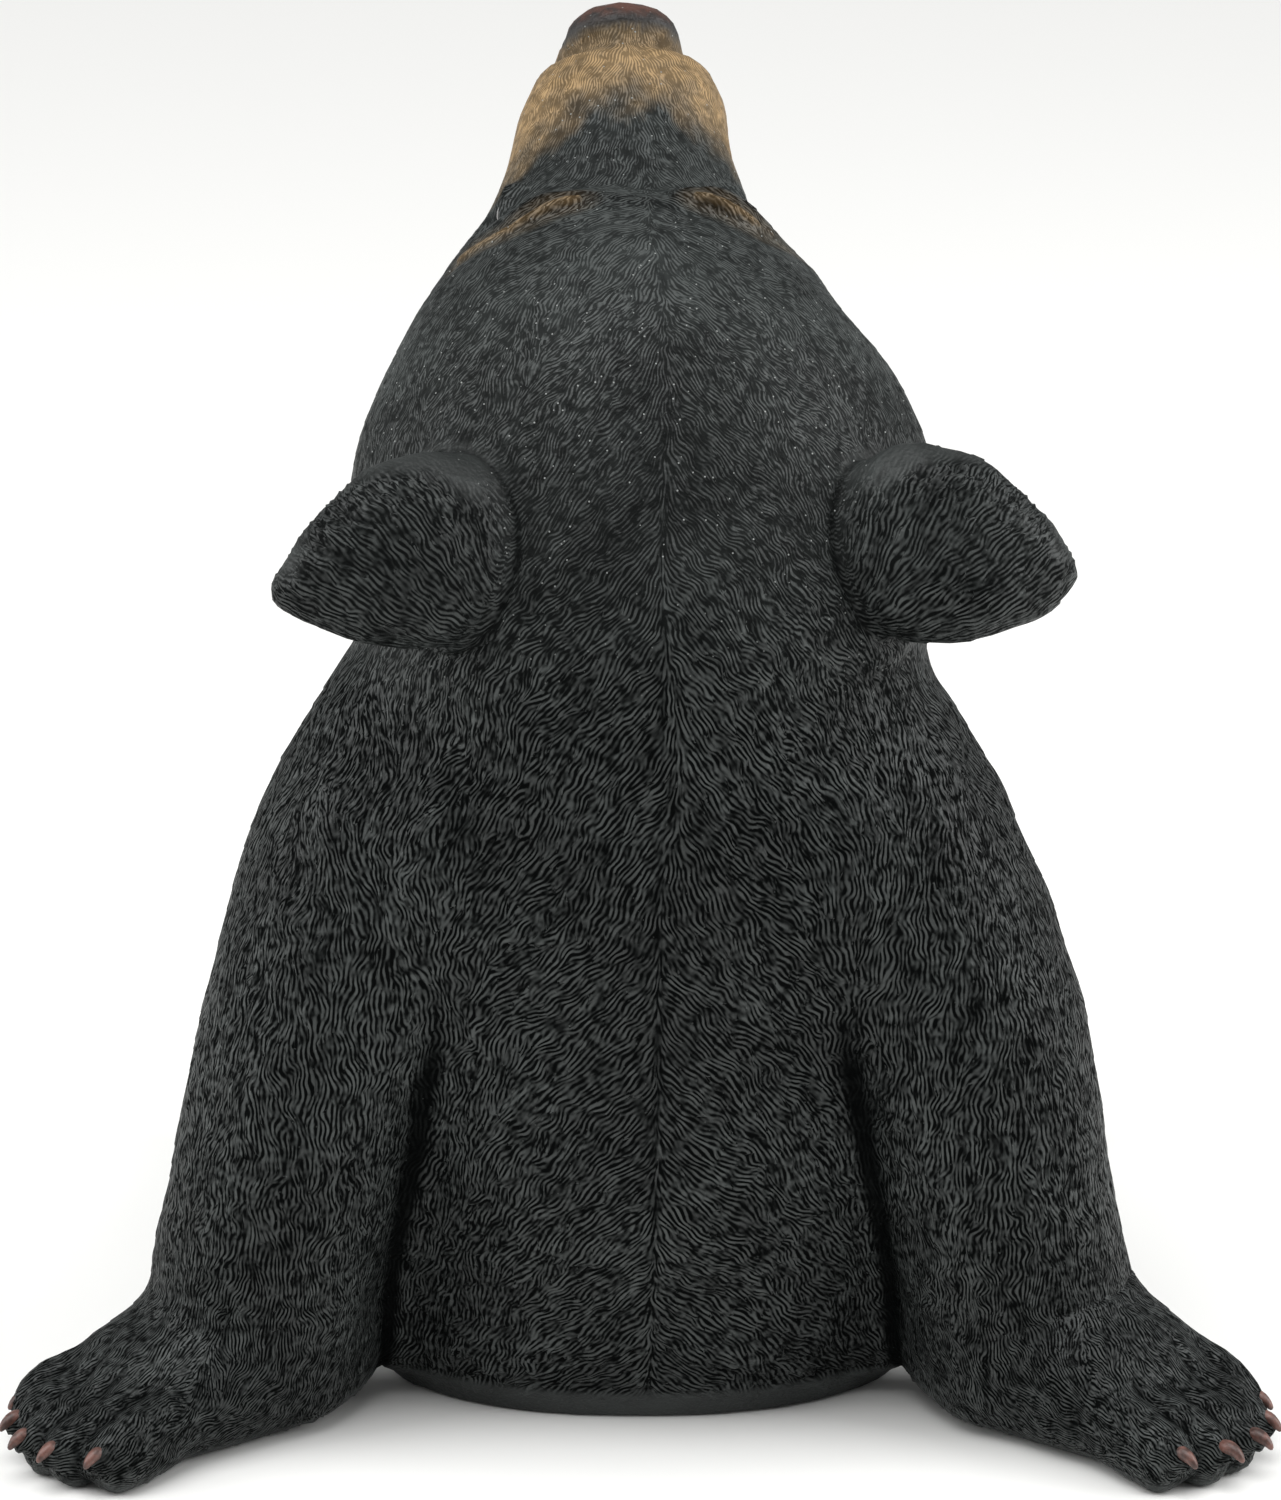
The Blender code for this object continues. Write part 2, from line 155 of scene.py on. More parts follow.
# An eye, seen from a point in the head; the ball's radius, how far the solid's eye bulges, how far the ball
# stands out of the skin, and the opening's half length and half height.
EYE_FROM = (0, -64, 4)
EYE = (31, -57, 13.5)
EYE_RADIUS = 6.0
EYE_BULGE = 2.8
EYE_RISE = 0.2
EYE_OPENING = (6.4, 3.3)
# The line of the mouth on the cub's right, seen from a point in the muzzle, and the right nostril.
MOUTH_FROM = (0, -26, -9)
MOUTH = (
    (0, 0, -9.5),
    (6, 0, -10),
    (12, -5, -11),
    (18, -14, -12),
    (22.5, -26, -13),
    (26.5, -38, -13),
    (29.5, -47, -11),
)
NOSTRIL = (6.2, 2.6, 1.6)
NOSTRIL_SIZE = (2.9, 4.0, 2.5)
# A claw from its root to its tip: how far ahead, how far up, and half its thickness; its turn at each step;
# how high it stands on a front toe; and how far behind the ends of the toes it starts.
CLAW_ROWS = ((0, 0, 1.8), (2.6, 0.4, 1.9), (4.8, 0.0, 1.6), (6.6, -1.2, 1.1), (7.6, -2.4, 0.5))
CLAW_CURL = math.radians(11)
FRONT_CLAW_HEIGHT = 11.0
FRONT_CLAW_BACK = 3.4
HIND_CLAW_BACK = 4.0
# Fine lines of the fur's paint: how far apart and how long they are, and how far they sway, in millimetres.
LINE_SPACING = 1.25
LINE_LENGTH = 4.2
LINE_SWAY = 2.2
# Toes: where they start, how far each reaches, and how they fan out and stand side by side.
FRONT_TOE_ROOT = 38.0
FRONT_TOE_REACHES = (25.5, 31.5, 32, 27, 17.5)
FRONT_TOE_SPREAD = 18.0
HIND_TOE_ROOT = 62.0
HIND_TOE_REACHES = (18, 21, 22, 21, 18)
HIND_TOE_SPREAD = 22.5
TOE_FAN = 6.0
# Where the parting of the fur runs down the head and the back: height, and x there.
PARTING = ((8, -2.3), (36, -2.6), (60, -3.5), (200, -5.5), (262, -4.5), (330, 0))
# How sharply one form's fur gives over to the next one's, and how it swings: degrees, and length of a wave.
FUR_BLEND = 14
FUR_SWINGS = ((16, 17), (15, 7))
# How much of a stroke stays clear of other strokes, and how alike the skin faces under one stroke.
STROKE_CLEAR = 0.86
STROKE_FACES = 0.35
# How deep the skin between the strokes is sunk, so that strokes and grooves keep the casting's size.
STROKE_SUNK = 0.55
TRIANGLE_LIMIT = 200000
SIDES = ((1, "left"), (-1, "right"))


def linear(colour):
    """An sRGB hex colour as the linear red, green, blue and alpha that the shader takes."""
    parts = [int(colour[i : i + 2], 16) / 255 for i in (1, 3, 5)]
    return (*(c / 12.92 if c <= 0.04045 else ((c + 0.055) / 1.055) ** 2.4 for c in parts), 1.0)


def length_setting(name, description, metres, least=0.0):
    """A setting for a length in metres."""
    return bpy.props.FloatProperty(
        name=name, description=description, default=metres, min=least, unit="LENGTH"
    )


def colour_setting(name, description, colour):
    """A setting for a colour, given as sRGB hex."""
    return bpy.props.FloatVectorProperty(
        name=name, description=description, subtype="COLOR", size=4, default=linear(colour)
    )


class CubSettings(bpy.types.PropertyGroup):
    """Sizes and colours of the casting's carved fur and its paint."""

    skin_grain: length_setting(
        "Skin grain", "Edge length of the fine skin that the fur is carved in", 0.00055, 0.0003
    )
    stroke_spacing: length_setting(
        "Stroke spacing", "Distance from one carved stroke of the back to the next", 0.00165, 0.0008
    )
    stroke_length: length_setting("Stroke length", "Length of a carved stroke of the back", 0.0095, 0.002)
    stroke_depth: length_setting("Stroke depth", "Height of a stroke over the groove beside it", 0.00085)
    triangles: bpy.props.IntProperty(
        name="Triangles",
        description="How many triangles the finished skin may have",
        default=186000,
        min=10000,
    )
    # The groove colour is the black base paint and also painted shade in the grooves. The fur colour is
    # dry-brushed grey and also a painted sheen on the crests.
    groove_colour: colour_setting("Groove colour", "Black paint that stays in the grooves", "#040505")
    fur_colour: colour_setting("Fur colour", "Charcoal paint of the raised strokes", "#424645")
    tan_colour: colour_setting("Tan colour", "Dry-brushed paint of the muzzle and the brows", "#ae9066")
    nose_colour: colour_setting("Nose colour", "Paint of the nose pad and the soles", "#2a2827")
    # The nose's reddish brown is a painted highlight on the front of the nose.
    nose_highlight_colour: colour_setting(
        "Nose wear colour", "Reddish brown that the front of the nose is worn to", "#54382f"
    )
    claw_colour: colour_setting("Claw colour", "Paint of the claws", "#6f4d45")


def smooth_step(low, high, value):
    """From 0 at low to 1 at high, with soft ends."""
    share = np.clip((value - low) / (high - low), 0, 1)
    return share * share * (3 - 2 * share)


def bell(value, width):
    """1 at 0, and less the further the value is to either side of it, for this width."""
    return np.exp(-((value / width) ** 2))


def highest(places, **shares):
    """The highest of these places at each point, each taken with its share."""
    return np.maximum.reduce([share * places[name] for name, share in shares.items()])


def widen(places, name, values):
    """Adds these values to a place, where they are higher."""
    places[name] = np.maximum(places.get(name, 0), values)


def unit_length(vectors):
    """The vectors, each made 1 long."""
    return vectors / np.maximum(np.linalg.norm(vectors, axis=1), 1e-9)[:, None]


def dots(a, b):
    """Dot product of each row of a with that of b, or with b where it is one vector."""
    return np.einsum("ij,ij->i", a, np.broadcast_to(b, a.shape))


def in_frame(points, place):
    """The points as they are in a form's own frame."""
    inverse = np.array(place.inverted())
    return points @ inverse[:3, :3].T + inverse[:3, 3]


def from_frame(vectors, place):
    """Directions of a form's own frame as they are in the figure's."""
    return np.asarray(vectors, float) @ np.array(place)[:3, :3].T


def head_place():
    """The head's frame: x to the cub's right, y out of the nose, z out of the crown, origin at its tip."""
    up = math.radians(LOOK_UP)
    face = Vector((0, -math.cos(up), math.sin(up)))
    crown = Vector((0, math.sin(up), math.cos(up)))
    axes = Matrix((face.cross(crown), face, crown)).transposed().to_4x4()
    turn = Matrix.Rotation(math.radians(HEAD_TURN), 4, "Z")
    pivot = Matrix.Translation(Vector(HEAD_PIVOT))
    back = Matrix.Translation(-Vector((0, *HEAD_PIVOT[1:])))
    return pivot @ turn @ back @ Matrix.Translation(Vector(NOSE_TIP)) @ axes


def mirrored(side):
    """The figure's frame for side 1, the cub's left, or for side -1, its right."""
    return Matrix.Diagonal((side, 1, 1, 1))


def paw_place(side):
    """A front paw's frame: x to the side, y along the toes, z up, origin on the ground under the wrist."""
    heading = Matrix.Rotation(math.radians(FRONT_PAW_HEADING - 90), 4, "Z")
    return mirrored(side) @ Matrix.Translation((*FRONT_PAW_ORIGIN, 0)) @ heading


def foot_place(side):
    """A hind foot's frame: x across the sole, y out of it, z up to the toes, origin under the heel."""
    lean = Matrix.Rotation(math.radians(HIND_FOOT_LEAN), 4, "X")
    splay = Matrix.Rotation(math.radians(HIND_FOOT_SPLAY), 4, "Y")
    outward = Matrix.Rotation(math.radians(HIND_FOOT_SPLAY), 4, "Z")
    faces_front = Matrix.Diagonal((1, -1, 1, 1))
    return mirrored(side) @ Matrix.Translation(HIND_HEEL) @ outward @ splay @ lean @ faces_front


def ear_place(side):
    """An ear's frame: x out to its tip, z out of its back, origin in the middle of its opening."""
    side = -side  # the head's own x axis points to the cub's right
    out = Matrix.Translation((side * EAR[0] + 1.5, *EAR[1:]))
    droop = Matrix.Rotation(math.radians(-side * EAR_DROOP), 4, "Z")
    tip_back = Matrix.Rotation(math.radians(EAR_TIPS_BACK), 4, "X")
    open_outward = Matrix.Rotation(math.radians(side * EAR_OPENS), 4, "Y")
    return head_place() @ out @ droop @ tip_back @ open_outward @ mirrored(side)


def on_casting(start, towards):
    """Where the line from a point inside the figure leaves the casting's skin."""
    hit, seen, _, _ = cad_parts[CASTING].ray_cast(start * UNIT, (towards - start).normalized())
    if not hit:
        raise RuntimeError("no skin was found in front of a point of the face")
    return seen / UNIT


def eye_place(side):
    """An eye's frame: x towards the nose, z out of the face, origin on the skin that the eye bulges from."""
    head = head_place()
    start = head @ Vector((FACE_SHIFT + EYE_FROM[0], *EYE_FROM[1:]))
    towards = head @ Vector((FACE_SHIFT + side * EYE[0], *EYE[1:]))
    out = (towards - start).normalized()
    ahead = head.to_3x3() @ Vector((0, 1, 0))
    ahead = (ahead - out * ahead.dot(out)).normalized()
    axes = Matrix((ahead, out.cross(ahead), out)).transposed().to_4x4()
    return Matrix.Translation(on_casting(start, towards) - out * EYE_BULGE) @ axes


def gap_to_line(points, line):
    """How far points are from a line through these places."""
    gap = np.full(len(points), 1e9)
    for start, end in zip(line, line[1:]):
        way = end - start
        share = np.clip(((points - start) @ way) / (way @ way), 0, 1)
        gap = np.minimum(gap, np.linalg.norm(points - start - share[:, None] * way, axis=1))
    return gap


def how_far_out(points, stations, along):
    """How far from a form's middle line points are, as a share of the form's half thickness there."""
    rows = np.array(stations, float)
    rows = rows[np.argsort(rows[:, along])]
    across, other = [i for i in range(3) if i != along]
    at = points[:, along]
    columns = (across, other, 3, 4)
    centre, centre_other, half, half_other = (np.interp(at, rows[:, along], rows[:, i]) for i in columns)
    beyond = np.maximum(np.maximum(rows[0, along] - at, at - rows[-1, along]), 0) / half
    sideways = (points[:, across] - centre) / half
    upward = (points[:, other] - centre_other) / half_other
    return np.sqrt(sideways**2 + upward**2 + beyond**2)


def drift(points, wave, seed, count=7):
    """A smooth value from about -1 to 1 that changes over the surface, each wave about this long."""
    draws = np.random.default_rng(seed)
    total = np.zeros(len(points))
    for _ in range(count):
        way = draws.normal(size=3)
        way *= 2 * math.pi / (wave * draws.uniform(0.7, 1.5) * np.linalg.norm(way))
        total += np.sin(points @ way + draws.uniform(0, 2 * math.pi))
    return total / math.sqrt(count)


def read_forms(points):
    """For each form of the figure: how far out the points are, and which way its fur lies."""
    x, y, z = points.T
    parting = np.interp(z, *zip(*PARTING))
    aside = np.tanh((x - parting) / 2.0)
    forms = {}
    behind = smooth_step(-10, 25, y)
    spread = (0.95 - 0.5 * smooth_step(15, 60, np.abs(x - parting))) * behind + 0.25 * (1 - behind)
    down = np.stack([aside * spread, np.zeros_like(x), -np.ones_like(x)], axis=1)
    forms["torso"] = (how_far_out(points, TORSO, 2), down)
    forms["neck"] = (how_far_out(points, NECK, 2), down)
    head = in_frame(points, head_place())
    crown = smooth_step(-8, 12, head[:, 2])
    spread = np.tanh(head[:, 0] / 3) * (0.3 + 0.45 * smooth_step(50, 90, -head[:, 1])) * crown
    lay = np.stack([spread, -np.ones_like(x), -0.1 * np.ones_like(x)], axis=1)
    forms["head"] = (how_far_out(head, HEAD, 1), from_frame(lay, head_place()))
    for side, name in SIDES:
        half = points * (side, 1, 1)
        ones = np.ones_like(x)
        sideways = 0.16 - 0.35 * smooth_step(20, -20, half[:, 0] - 78)
        lay = np.stack([side * sideways, 0.05 * ones, -ones], axis=1)
        forms[name + "_front_leg"] = (how_far_out(half, FRONT_LEG, 2), lay)
        paw = in_frame(points, paw_place(side))
        lay = np.stack([0.012 * paw[:, 0], ones, -0.45 * ones], axis=1)
        forms[name + "_front_paw"] = (how_far_out(paw, FRONT_PAW, 1), from_frame(lay, paw_place(side)))
        lay = np.stack([0.2 * side * ones, -ones, -0.25 * ones], axis=1)
        forms[name + "_hind_leg"] = (how_far_out(half, HIND_LEG, 1), lay)
        foot = in_frame(points, foot_place(side))
        lay = np.stack([0 * x, 0.1 * ones, ones], axis=1)
        forms[name + "_hind_foot"] = (how_far_out(foot, HIND_FOOT, 2), from_frame(lay, foot_place(side)))
        ear = in_frame(points, ear_place(side))
        root = np.array(EAR_FUR_ROOT)
        out = np.sqrt(((ear / EAR_SIZE) ** 2).sum(axis=1))
        forms[name + "_ear"] = (out, from_frame(unit_length(ear - root), ear_place(side)))
    return forms


def toes(reaches, root, spread):
    """For each toe: where it stands across the paw, how far it leans out by its end, and where it ends."""
    for i, reach in enumerate(reaches):
        across = 2 * i / (len(reaches) - 1) - 1
        yield across * spread, math.tan(math.radians(TOE_FAN * across)) * reach, root + reach


def between_toes(points, side):
    """How deep points lie between two toes, from 0 to 1."""
    deep = np.zeros(len(points))
    paw, foot = in_frame(points, paw_place(side)), in_frame(points, foot_place(side))
    front = (paw[:, 0], paw[:, 1], paw[:, 2], FRONT_TOE_REACHES, FRONT_TOE_ROOT, FRONT_TOE_SPREAD)
    hind = (foot[:, 0], foot[:, 2], foot[:, 1] + 8, HIND_TOE_REACHES, HIND_TOE_ROOT, HIND_TOE_SPREAD)
    for across, along, up, reaches, root, spread in (front, hind):
        rows = list(toes(reaches, root, spread))
        in_toes = smooth_step(root - 2, root + 8, along) * smooth_step(-4, 3, up) * smooth_step(40, 30, up)
        furthest = max(end for _, _, end in rows)
        in_toes *= smooth_step(furthest + 12, furthest + 4, along)
        for (x, lean, end), (next_x, next_lean, next_end) in zip(rows, rows[1:]):
            share = np.clip((along - root) / (0.5 * (end + next_end) - root), 0, 1.2)
            middle = 0.5 * (x + next_x) + 0.5 * (lean + next_lean) * share
            deep = np.maximum(deep, in_toes * bell(across - middle, 1.5))
    return deep


def hollows(points, near):
    """How deep points lie in a crease between two forms, from 0 to 1: arms and back, ears and head, toes."""
    deep = np.zeros(len(points))
    low = smooth_step(135, 80, points[:, 2])
    for side, name in SIDES:
        outs = near["torso"], near[name + "_front_leg"]
        beside = bell(outs[0] - outs[1], 0.13) * smooth_step(1.5, 1.2, np.maximum(*outs))
        deep = np.maximum(deep, beside * low)
        outs = near["head"], near[name + "_ear"]
        beside = bell(outs[0] - outs[1], 0.05) * smooth_step(1.35, 1.15, np.maximum(*outs))
        deep = np.maximum(deep, 0.6 * beside)
        deep = np.maximum(deep, 0.6 * between_toes(points, side))
    return deep


def read_places(points, normals, forms):
    """How much each point belongs to a place that has its own carving or paint, from 0 to 1."""
    head = in_frame(points, head_place())
    places = {}
    near = {name: out for name, (out, _) in forms.items()}
    in_head = smooth_step(1.2, 1.08, near["head"]) * smooth_step(-200, -150, head[:, 1])
    middle, radii = NOSE_PAD
    pad = np.sqrt((((head - middle) / radii) ** 2).sum(axis=1))
    places["nose"] = smooth_step(1.16, 1.05, pad) * smooth_step(-7.0, -4.5, head[:, 1])
    places["fuzz"] = smooth_step(-14.5, -11.0, head[:, 1]) * smooth_step(-3.0, -6.0, head[:, 1])
    places["nose_tip"] = smooth_step(-4.5, -1.0, head[:, 1])
    places["head"] = in_head
    # Painted light: the front of the head, from the forehead to the nose, which faces the light from above,
    # is painted paler than the crown.
    places["pale"] = in_head * smooth_step(-128, -92, head[:, 1])
    places["muzzle"] = in_head * smooth_step(-72, -45, head[:, 1])
    edge = 0.75 * np.maximum(np.abs(head[:, 0] + 1) - 8, 0) + 2.5 * drift(points, 9, SEED + 4)
    before = smooth_step(-36, -17, head[:, 1] + edge)
    in_muzzle = smooth_step(1.7, 1.45, near["head"]) * smooth_step(-80, -60, head[:, 1])
    places["tan"] = before * in_muzzle * (1 - places["nose"]) * (1 - 0.4 * places["fuzz"])
    brow = np.full(len(points), 1e9)
    for side in (1, -1):
        line = np.array([(FACE_SHIFT + side * x, y, z) for x, y, z in BROW])
        brow = np.minimum(brow, gap_to_line(head, line))
    places["brow"] = smooth_step(2.0, 0.5, brow)
    places["brow_shade"] = smooth_step(7.0, 2.5, brow)
    for side in (1, -1):
        eye = in_frame(points, eye_place(side))
        disc = np.linalg.norm(eye[:, :2], axis=1)
        lid = smooth_step(10.5, 7.5, disc) * smooth_step(10, 7, np.abs(eye[:, 2]))
        widen(places, "lids", lid)
    outs = [near[name + limb] for _, name in SIDES for limb in ("_front_leg", "_front_paw")]
    limbs = smooth_step(1.5, 1.2, np.min(outs, axis=0))
    for side, name in SIDES:
        facing = normals @ from_frame((0, 0, 1), ear_place(side))
        in_ear = smooth_step(1.15, 1.02, near[name + "_ear"])
        widen(places, "inside_ear", in_ear * smooth_step(0.0, -0.3, facing))
        widen(places, "ear_back", in_ear * smooth_step(0.0, 0.3, facing))
        ear = in_frame(points, ear_place(side))
        flat = np.sqrt((ear[:, 0] / EAR_SIZE[0]) ** 2 + (ear[:, 1] / EAR_SIZE[1]) ** 2)
        rim = in_ear * smooth_step(0.62, 0.82, flat)
        widen(places, "ear_rim", rim * smooth_step(-1, 10, ear[:, 1]))
    places["fine"] = 0.45 * smooth_step(60, 25, points[:, 2]) * limbs
    for side, name in SIDES:
        foot = in_frame(points, foot_place(side))
        out = normals @ from_frame((0, 1, 0), foot_place(side))
        outward = smooth_step(0.15, 0.6, out) * smooth_step(1.5, 1.2, near[name + "_hind_foot"])
        widen(places, "sole", outward * smooth_step(4, 8, foot[:, 1]))
    rump = smooth_step(1.5, 1.25, near["torso"])
    height = points[:, 2]
    places["under"] = np.maximum(smooth_step(4.5, 1.0, height), rump * smooth_step(8.5, 6.5, height))
    places["hollow"] = hollows(points, near)
    aside = points[:, 0] - np.interp(height, *zip(*PARTING)) - 0.8 * drift(points, 14, SEED + 5)
    on_back = smooth_step(10, 30, points[:, 1] + 0.4 * (height - 150))
    places["parting"] = bell(aside, 0.9) * on_back
    nostrils = np.abs(head[:, 0])[:, None] * (1, 0, 0) + head * (0, 1, 1)
    places["nostril"] = smooth_step(1.25, 0.8, np.linalg.norm((nostrils - NOSTRIL) / NOSTRIL_SIZE, axis=1))
    line = [(FACE_SHIFT * i / 6 + x, y, z) for i, (x, y, z) in enumerate(MOUTH)]
    mirror = [(FACE_SHIFT * i / 6 - x, y, z) for i, (x, y, z) in enumerate(MOUTH)]
    seen_from = [head_place() @ Vector((*MOUTH_FROM[:2], z)) for _, _, z in mirror[:0:-1] + line]
    seen_to = [head_place() @ Vector(place) for place in mirror[:0:-1] + line]
    lips = np.array([on_casting(start, end) for start, end in zip(seen_from, seen_to)])
    places["mouth"] = smooth_step(2.2, 0.5, gap_to_line(points, lips))
    places["behind"] = smooth_step(-40, 10, points[:, 1] + 0.25 * (height - 150))
    return places


def lay_of_fur(points, normals, forms):
    """Which way the fur lies at each point: the forms' own ways, each as far as the point is on it."""
    total = np.zeros_like(points)
    nearest = np.min([out for out, _ in forms.values()], axis=0)
    for out, way in forms.values():
        total += np.exp(-FUR_BLEND * (out - nearest))[:, None] * unit_length(way)
    swing = sum(np.radians(turn) * drift(points, wave, SEED + i) for i, (turn, wave) in enumerate(FUR_SWINGS))
    ears = np.minimum(forms["left_ear"][0], forms["right_ear"][0])
    parting = np.interp(points[:, 2], *zip(*PARTING))
    calm = 1 - 0.85 * smooth_step(1.35, 1.1, ears)
    swing *= calm * (0.4 + 0.6 * smooth_step(6, 30, np.abs(points[:, 0] - parting)))
    flat = unit_length(total - normals * dots(total, normals)[:, None])
    across = np.cross(normals, flat)
    return flat * np.cos(swing)[:, None] + across * np.sin(swing)[:, None]


def carve(points, normals, lay, bend, spacing, length, depth, draws):
    """Height of the carved strokes over each point, and a tone for each stroke.

    Strokes are set one by one where none is yet, and each is a low rounded ridge, highest towards its tip.
    """
    reach = float(length.max()) * 0.72
    cells = np.floor(points / reach).astype(np.int64)
    cells -= cells.min(axis=0)
    spans = cells.max(axis=0) + 3
    keys = ((cells[:, 0] + 1) * spans[1] + cells[:, 1] + 1) * spans[2] + cells[:, 2] + 1
    order = np.argsort(keys, kind="stable")
    found, starts = np.unique(keys[order], return_index=True)
    groups = dict(zip(found.tolist(), np.split(order, starts[1:])))
    around = [(i * spans[1] + j) * spans[2] + k for i in (-1, 0, 1) for j in (-1, 0, 1) for k in (-1, 0, 1)]
    height = np.zeros(len(points))
    tone = np.full(len(points), 0.5)
    taken = spacing <= 0
    for key in draws.permutation(found).tolist():
        own = groups[key]
        own = own[~taken[own]]
        if not len(own):
            continue
        near = np.concatenate([groups[key + step] for step in around if key + step in groups])
        place, faces = points[near], normals[near]
        for centre in draws.permutation(own).tolist():
            if taken[centre]:
                continue
            gap = place - points[centre]
            along = gap @ lay[centre]
            half = 0.5 * length[centre] * draws.uniform(0.8, 1.25)
            some = np.flatnonzero(np.abs(along) < half)
            gap, along = gap[some], along[some]
            side = np.cross(normals[centre], lay[centre])
            share = along / half
            wave = draws.normal() * 0.06 * half * np.sin(2.6 * share)
            across = gap @ side - 0.5 * bend[centre] * along * along - wave
            alike = faces[some] @ normals[centre] > STROKE_FACES
            fits = (np.abs(across) < 1.6 * spacing[centre]) & alike
            some, across, share = some[fits], across[fits], share[fits]
            members = near[some]
            clear = (np.abs(across) < STROKE_CLEAR * spacing[centre]) & (np.abs(share) < STROKE_CLEAR)
            taken[members[clear]] = True
            wide = spacing[centre] * (1 - np.abs(share) ** 3)
            rise = (1 - (across / np.maximum(wide, 1e-6)) ** 2) * (0.8 + 0.2 * share)
            rise *= depth[centre] * draws.uniform(0.75, 1.1)
            higher = rise > height[members]
            members = members[higher]
            height[members] = rise[higher]
            tone[members] = draws.uniform()
            taken[centre] = True
    return height, tone


def add_object(name, data):
    """A new object with this data in the scene."""
    made = bpy.data.objects.new(name, data)
    bpy.context.scene.collection.objects.link(made)
    return made


def select_only(thing):
    """Leaves this object alone selected and active."""
    bpy.ops.object.select_all(action="DESELECT")
    thing.select_set(True)
    bpy.context.view_layer.objects.active = thing


def finish_with(thing, name, kind, **values):
    """Adds a modifier with these values and applies it."""
    select_only(thing)
    change = thing.modifiers.new(name, kind)
    for key, value in values.items():
        setattr(change, key, value)
    bpy.ops.object.modifier_apply(modifier=change.name)


def copy_of_casting(name):
    """A piece with the casting's own surface, its loose triangles merged."""
    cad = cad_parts[CASTING]
    piece = add_object(name, cad.data.copy())
    piece.data.materials.clear()
    select_only(piece)
    bpy.ops.object.mode_set(mode="EDIT")
    bpy.ops.mesh.select_all(action="SELECT")
    bpy.ops.mesh.remove_doubles(threshold=1e-6)
    bpy.ops.mesh.customdata_custom_splitnormals_clear()
    bpy.ops.object.mode_set(mode="OBJECT")
    return piece


def model_claw():
    """One claw, extruded from its root to its tip: y ahead, z up, origin in its root."""
    bpy.ops.object.select_all(action="DESELECT")
    root, *_ = CLAW_ROWS
    bpy.ops.mesh.primitive_circle_add(
        vertices=10, radius=root[2] * UNIT, fill_type="NGON", rotation=(math.pi / 2, 0, 0)
    )
    claw = bpy.context.active_object
    bpy.ops.object.transform_apply(location=True, rotation=True, scale=True)
    bpy.ops.object.mode_set(mode="EDIT")
    bpy.ops.mesh.select_all(action="SELECT")
    at = Vector((0, 0, 0))
    thick = root[2]
    for ahead, up, size in CLAW_ROWS[1:]:
        step = Vector((0, ahead, up)) - at
        bpy.ops.mesh.extrude_region_move(TRANSFORM_OT_translate={"value": step * UNIT})
        at += step
        middle = tuple(at * UNIT)
        bpy.ops.transform.resize(value=(size / thick,) * 3, center_override=middle)
        bpy.ops.transform.rotate(value=CLAW_CURL, orient_axis="X", center_override=middle)
        thick = size
    bpy.ops.mesh.select_all(action="SELECT")
    bpy.ops.mesh.normals_make_consistent(inside=False)
    bpy.ops.object.mode_set(mode="OBJECT")
    finish_with(claw, "rounded", "SUBSURF", levels=1, render_levels=1)
    bpy.ops.object.shade_smooth()
    return claw


def place_copy(model, place, name):
    """A copy of a model with its own mesh, put in this place of the figure, and turned right side out."""
    piece = add_object(name, model.data.copy())
    to_units = Matrix.Diagonal((1 / UNIT, 1 / UNIT, 1 / UNIT, 1))
    piece.data.transform(Matrix.Diagonal((UNIT, UNIT, UNIT, 1)) @ place @ to_units)
    if place.determinant() < 0:
        piece.data.flip_normals()
    return piece


def make_claws(settings):
    """A claw on each toe: ahead and down on the front paws, up and over the sole on the hind feet."""
    model = model_claw()
    horn = claw_horn(settings)
    model.data.materials.append(horn)
    claws = []
    for side in (1, -1):
        for i, (x, lean, end) in enumerate(toes(FRONT_TOE_REACHES, FRONT_TOE_ROOT, FRONT_TOE_SPREAD)):
            out = Matrix.Rotation(-math.atan2(lean, end - FRONT_TOE_ROOT), 4, "Z")
            root = Matrix.Translation((x + lean * 0.9, end - FRONT_CLAW_BACK, FRONT_CLAW_HEIGHT))
            claws.append(place_copy(model, paw_place(side) @ root @ out, f"front_claw_{i}_{side}"))
        for i, (x, lean, end) in enumerate(toes(HIND_TOE_REACHES, HIND_TOE_ROOT, HIND_TOE_SPREAD)):
            upright = Matrix(((1, 0, 0, 0), (0, 0, -1, 0), (0, 1, 0, 0), (0, 0, 0, 1)))
            root = Matrix.Translation((x + lean, 1.5, end - HIND_CLAW_BACK))
            claws.append(place_copy(model, foot_place(side) @ root @ upright, f"hind_claw_{i}_{side}"))
    bpy.data.objects.remove(model)
    return claws


def make_eyes():
    """A glossy eyeball in each eye's opening."""
    lacquer = eye_lacquer()
    eyes = []
    for side in (1, -1):
        place = eye_place(side)
        middle = place @ Vector((0, 0, EYE_RISE - EYE_RADIUS)) * UNIT
        turn = place.to_euler()
        bpy.ops.object.select_all(action="DESELECT")
        bpy.ops.mesh.primitive_uv_sphere_add(
            segments=32, ring_count=20, radius=EYE_RADIUS * UNIT, location=middle, rotation=turn
        )
        ball = bpy.context.active_object
        bpy.ops.object.shade_smooth()
        bpy.ops.object.transform_apply(location=True, rotation=True, scale=True)
        ball.data.materials.append(lacquer)
        eyes.append(ball)
    return eyes


def read_mesh(mesh):
    """Points in units, and normals."""
    points = np.empty(len(mesh.vertices) * 3, np.float32)
    normals = np.empty_like(points)
    mesh.vertices.foreach_get("co", points)
    mesh.vertex_normals.foreach_get("vector", normals)
    return points.reshape(-1, 3).astype(float) / UNIT, normals.reshape(-1, 3).astype(float)


def keep_values(mesh, where, **values):
    """Writes values as attributes of the mesh's points, or of its face corners."""
    for name, value in values.items():
        kind, field = ("FLOAT_VECTOR", "vector") if value.ndim == 2 else ("FLOAT", "value")
        layer = mesh.attributes.get(name) or mesh.attributes.new(name, kind, where)
        layer.data.foreach_set(field, value.astype(np.float32).ravel())


